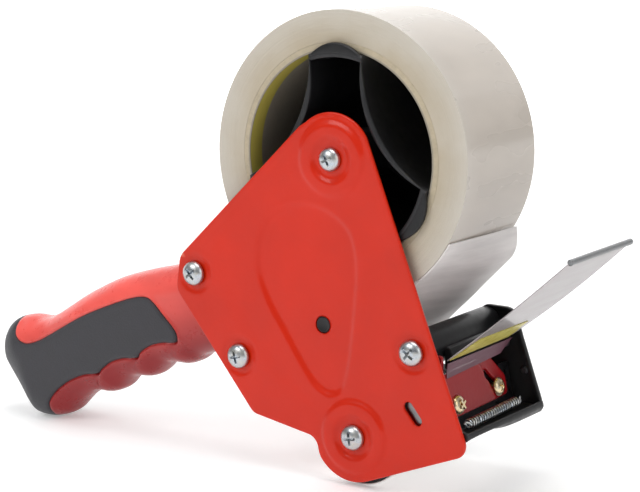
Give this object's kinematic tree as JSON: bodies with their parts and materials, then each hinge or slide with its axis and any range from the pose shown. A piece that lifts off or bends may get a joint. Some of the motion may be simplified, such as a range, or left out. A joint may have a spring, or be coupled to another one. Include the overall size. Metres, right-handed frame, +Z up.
{
  "type": "tape gun dispenser",
  "caption": "Hand-held packing tape gun: pistol grip, one side plate, three-armed reel hub with a tape roll, press roller, sprung blade guard and wiper flap.",
  "frame": {"origin": "On the floor under the middle of the whole tool, which stands on its press roller and the butt of its grip.", "axes": "+X forward to the wiper flap, +Y from the side plate across the tape's width, +Z up"},
  "size_m": [0.2636, 0.0654, 0.1698],
  "materials": {
    "red_paint": "gloss enamel",
    "dark_red_paint": "satin enamel",
    "red_plastic": "glossy moulded plastic",
    "grey_rubber": "soft-touch matt",
    "black_plastic": "satin moulded plastic",
    "black_rubber": "matt rubber",
    "zinc": "bright zinc plate",
    "steel": "bright steel",
    "brass": "yellow zinc or brass",
    "tape": "translucent wound film",
    "web_film": "clear film",
    "card": "paper board core",
    "flap_film": "smoked clear film"
  },
  "bodies": {
    "frame": {"side_plate": "red_paint", "spare_hole_plug": "black_plastic", "handle_shell_near": "red_plastic", "handle_shell_far": "red_plastic", "grip_pad_near": "grey_rubber", "grip_pad_far": "grey_rubber", "handle_butt_cap": "grey_rubber", "handle_screw_upper": "zinc", "handle_screw_lower": "zinc", "handle_nut_upper": "zinc", "handle_nut_lower": "zinc", "hub_axle": "steel", "hub_axle_screw": "zinc", "brake_washer": "steel", "brake_spring": "steel", "roller_axle": "steel", "roller_axle_screw": "zinc", "roller_clip": "zinc", "guard_rod": "steel", "guard_rod_screw": "zinc", "guard_rod_clip": "zinc", "guard_spring": "zinc", "blade_bracket": "dark_red_paint", "blade": "steel", "blade_screw_near": "brass", "blade_screw_far": "brass", "blade_nut_near": "zinc", "blade_nut_far": "zinc", "wiper_clamp": "black_plastic", "tape_web": "web_film"},
    "reel": {"hub": "black_plastic", "hub_end_disc": "black_plastic", "hub_bush_near": "steel", "hub_bush_far": "steel", "tape_core": "card", "tape_roll": "tape"},
    "tension_knob": {"tension_knob": "black_plastic", "knob_insert": "brass"},
    "press_roller": {"roller_sleeve": "black_rubber", "roller_core": "black_plastic", "roller_bush_near": "steel", "roller_bush_far": "steel"},
    "guard": {"blade_guard": "black_plastic"},
    "wiper": {"wiper_flap": "flap_film", "wiper_edge": "steel"}
  },
  "joints": [
    {"name": "reel_spin", "type": "hinge", "parent": "frame", "child": "reel", "pos_m": [0.0407, 0.00015, 0.1178], "axis": [0, 1, 0], "continuous": true},
    {"name": "press_roller_spin", "type": "hinge", "parent": "frame", "child": "press_roller", "pos_m": [0.0505, 0.00015, 0.0186], "axis": [0, 1, 0], "continuous": true},
    {"name": "guard_swing", "type": "hinge", "parent": "frame", "child": "guard", "pos_m": [0.0743, 0.00005, 0.0527], "axis": [0, -1, 0], "range_deg": [0, 18], "stiffness_Nm_per_rad": 0.3, "springref_deg": -17.19},
    {"name": "wiper_flex", "type": "hinge", "parent": "frame", "child": "wiper", "pos_m": [0.0856, 0.00045, 0.0505], "axis": [0, -1, 0], "range_deg": [-8, 28], "stiffness_Nm_per_rad": 0.2},
    {"name": "tension_knob_turn", "type": "hinge", "parent": "frame", "child": "tension_knob", "pos_m": [0.0407, 0.02735, 0.1178], "axis": [0, 1, 0], "range_deg": [-180, 180]}
  ],
  "couplings": [
    {"joint": "press_roller_spin", "follows": "reel_spin", "ratio": -2.905}
  ]
}
